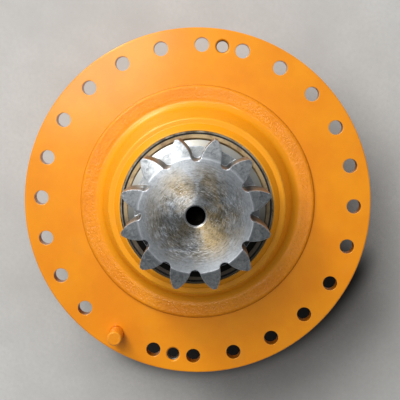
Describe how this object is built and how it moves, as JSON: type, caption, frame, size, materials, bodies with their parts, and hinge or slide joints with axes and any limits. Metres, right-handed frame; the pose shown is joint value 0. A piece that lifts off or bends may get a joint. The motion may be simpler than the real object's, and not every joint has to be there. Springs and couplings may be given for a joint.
{
  "type": "swing drive",
  "caption": "Planetary swing drive: round bolted flange, tapered nose with a seal, spur output pinion, open motor pilot at the far end.",
  "frame": {"origin": "centre of the bolt circle on the machined mounting face", "axes": "+Z along the output shaft from the motor end to the pinion, -Y through the locating dowel"},
  "size_m": [0.5319, 0.532, 0.581],
  "materials": {
    "orange_paint": "gloss",
    "machined_steel": "satin",
    "gear_steel": "satin",
    "polished_steel": "satin",
    "bearing_steel": "gloss",
    "pressed_steel": "satin",
    "seal_rubber": "matte",
    "o_ring_rubber": "matte",
    "bronze": "satin",
    "cast_iron": "matte",
    "zinc_steel": "satin",
    "copper": "satin",
    "black_steel": "satin"
  },
  "bodies": {
    "housing": {"output_housing": "orange_paint", "dowel_pin": "orange_paint", "seal_carrier": "machined_steel", "oil_seal": "seal_rubber", "upper_bearing_cup": "bearing_steel", "lower_bearing_cup": "bearing_steel", "ring_gear_stage_2": "orange_paint", "ring_gear_stage_1": "orange_paint", "motor_cover": "orange_paint", "through_bolts": "zinc_steel", "through_bolt_washers": "zinc_steel", "housing_o_ring": "o_ring_rubber", "ring_gear_o_ring": "o_ring_rubber", "cover_o_ring": "o_ring_rubber", "drain_plug": "zinc_steel", "level_plug": "zinc_steel", "plug_washers": "copper", "breather": "zinc_steel", "input_bearing_outer": "bearing_steel"},
    "output": {"output_pinion_shaft": "machined_steel", "wear_sleeve": "polished_steel", "upper_bearing_cone": "bearing_steel", "lower_bearing_cone": "bearing_steel", "bearing_nut": "black_steel", "bearing_lock_washer": "black_steel", "carrier_stage_2": "cast_iron", "carrier_snap_ring": "black_steel", "planet_pins_2": "machined_steel", "planet_pin_locks_2": "black_steel", "thrust_washers_2": "bronze"},
    "upper_rollers": {"upper_bearing_rollers": "bearing_steel", "upper_bearing_cage": "pressed_steel"},
    "lower_rollers": {"lower_bearing_rollers": "bearing_steel", "lower_bearing_cage": "pressed_steel"},
    "planet_2_a": {"planet_gear_2_a": "gear_steel", "planet_bush_2_a": "bronze"},
    "planet_2_b": {"planet_gear_2_b": "gear_steel", "planet_bush_2_b": "bronze"},
    "planet_2_c": {"planet_gear_2_c": "gear_steel", "planet_bush_2_c": "bronze"},
    "planet_2_d": {"planet_gear_2_d": "gear_steel", "planet_bush_2_d": "bronze"},
    "first_carrier": {"sun_gear_stage_2": "machined_steel", "carrier_stage_1": "cast_iron", "planet_pins_1": "machined_steel", "planet_pin_locks_1": "black_steel", "thrust_washers_1": "bronze"},
    "planet_1_a": {"planet_gear_1_a": "gear_steel", "planet_bush_1_a": "bronze"},
    "planet_1_b": {"planet_gear_1_b": "gear_steel", "planet_bush_1_b": "bronze"},
    "planet_1_c": {"planet_gear_1_c": "gear_steel", "planet_bush_1_c": "bronze"},
    "input": {"input_sun_shaft": "machined_steel", "input_bearing_inner": "bearing_steel", "input_snap_ring": "black_steel"},
    "input_balls": {"input_bearing_balls": "bearing_steel", "input_bearing_cage": "pressed_steel"}
  },
  "joints": [
    {"name": "pinion_spin", "type": "hinge", "parent": "housing", "child": "output", "pos_m": [0, 0, 0.168], "axis": [0, 0, 1], "continuous": true},
    {"name": "upper_cage_turn", "type": "hinge", "parent": "housing", "child": "upper_rollers", "pos_m": [0, 0, 0.054], "axis": [0, 0, 1], "continuous": true},
    {"name": "lower_cage_turn", "type": "hinge", "parent": "housing", "child": "lower_rollers", "pos_m": [0, 0, -0.08], "axis": [0, 0, 1], "continuous": true},
    {"name": "planet_2_a_spin", "type": "hinge", "parent": "output", "child": "planet_2_a", "pos_m": [0.09, 0, -0.186], "axis": [0, 0, 1], "continuous": true},
    {"name": "planet_2_b_spin", "type": "hinge", "parent": "output", "child": "planet_2_b", "pos_m": [0, 0.09, -0.186], "axis": [0, 0, 1], "continuous": true},
    {"name": "planet_2_c_spin", "type": "hinge", "parent": "output", "child": "planet_2_c", "pos_m": [-0.09, 0, -0.186], "axis": [0, 0, 1], "continuous": true},
    {"name": "planet_2_d_spin", "type": "hinge", "parent": "output", "child": "planet_2_d", "pos_m": [0, -0.09, -0.186], "axis": [0, 0, 1], "continuous": true},
    {"name": "sun_2_spin", "type": "hinge", "parent": "housing", "child": "first_carrier", "pos_m": [0, 0, -0.22], "axis": [0, 0, 1], "continuous": true},
    {"name": "planet_1_a_spin", "type": "hinge", "parent": "first_carrier", "child": "planet_1_a", "pos_m": [0.0765, 0, -0.273], "axis": [0, 0, 1], "continuous": true},
    {"name": "planet_1_b_spin", "type": "hinge", "parent": "first_carrier", "child": "planet_1_b", "pos_m": [-0.03825, 0.06625, -0.273], "axis": [0, 0, 1], "continuous": true},
    {"name": "planet_1_c_spin", "type": "hinge", "parent": "first_carrier", "child": "planet_1_c", "pos_m": [-0.03825, -0.06625, -0.273], "axis": [0, 0, 1], "continuous": true},
    {"name": "input_spin", "type": "hinge", "parent": "housing", "child": "input", "pos_m": [0, 0, -0.3], "axis": [0, 0, 1], "continuous": true},
    {"name": "input_cage_turn", "type": "hinge", "parent": "housing", "child": "input_balls", "pos_m": [0, 0, -0.321], "axis": [0, 0, 1], "continuous": true}
  ],
  "couplings": [
    {"joint": "upper_cage_turn", "follows": "pinion_spin", "ratio": 0.44711},
    {"joint": "lower_cage_turn", "follows": "pinion_spin", "ratio": 0.44803},
    {"joint": "planet_2_a_spin", "follows": "pinion_spin", "ratio": -3},
    {"joint": "planet_2_b_spin", "follows": "pinion_spin", "ratio": -3},
    {"joint": "planet_2_c_spin", "follows": "pinion_spin", "ratio": -3},
    {"joint": "planet_2_d_spin", "follows": "pinion_spin", "ratio": -3},
    {"joint": "sun_2_spin", "follows": "pinion_spin", "ratio": 4},
    {"joint": "planet_1_a_spin", "follows": "pinion_spin", "ratio": -10.182},
    {"joint": "planet_1_b_spin", "follows": "pinion_spin", "ratio": -10.182},
    {"joint": "planet_1_c_spin", "follows": "pinion_spin", "ratio": -10.182},
    {"joint": "input_spin", "follows": "pinion_spin", "ratio": 22.667},
    {"joint": "input_cage_turn", "follows": "pinion_spin", "ratio": 9.8222}
  ]
}
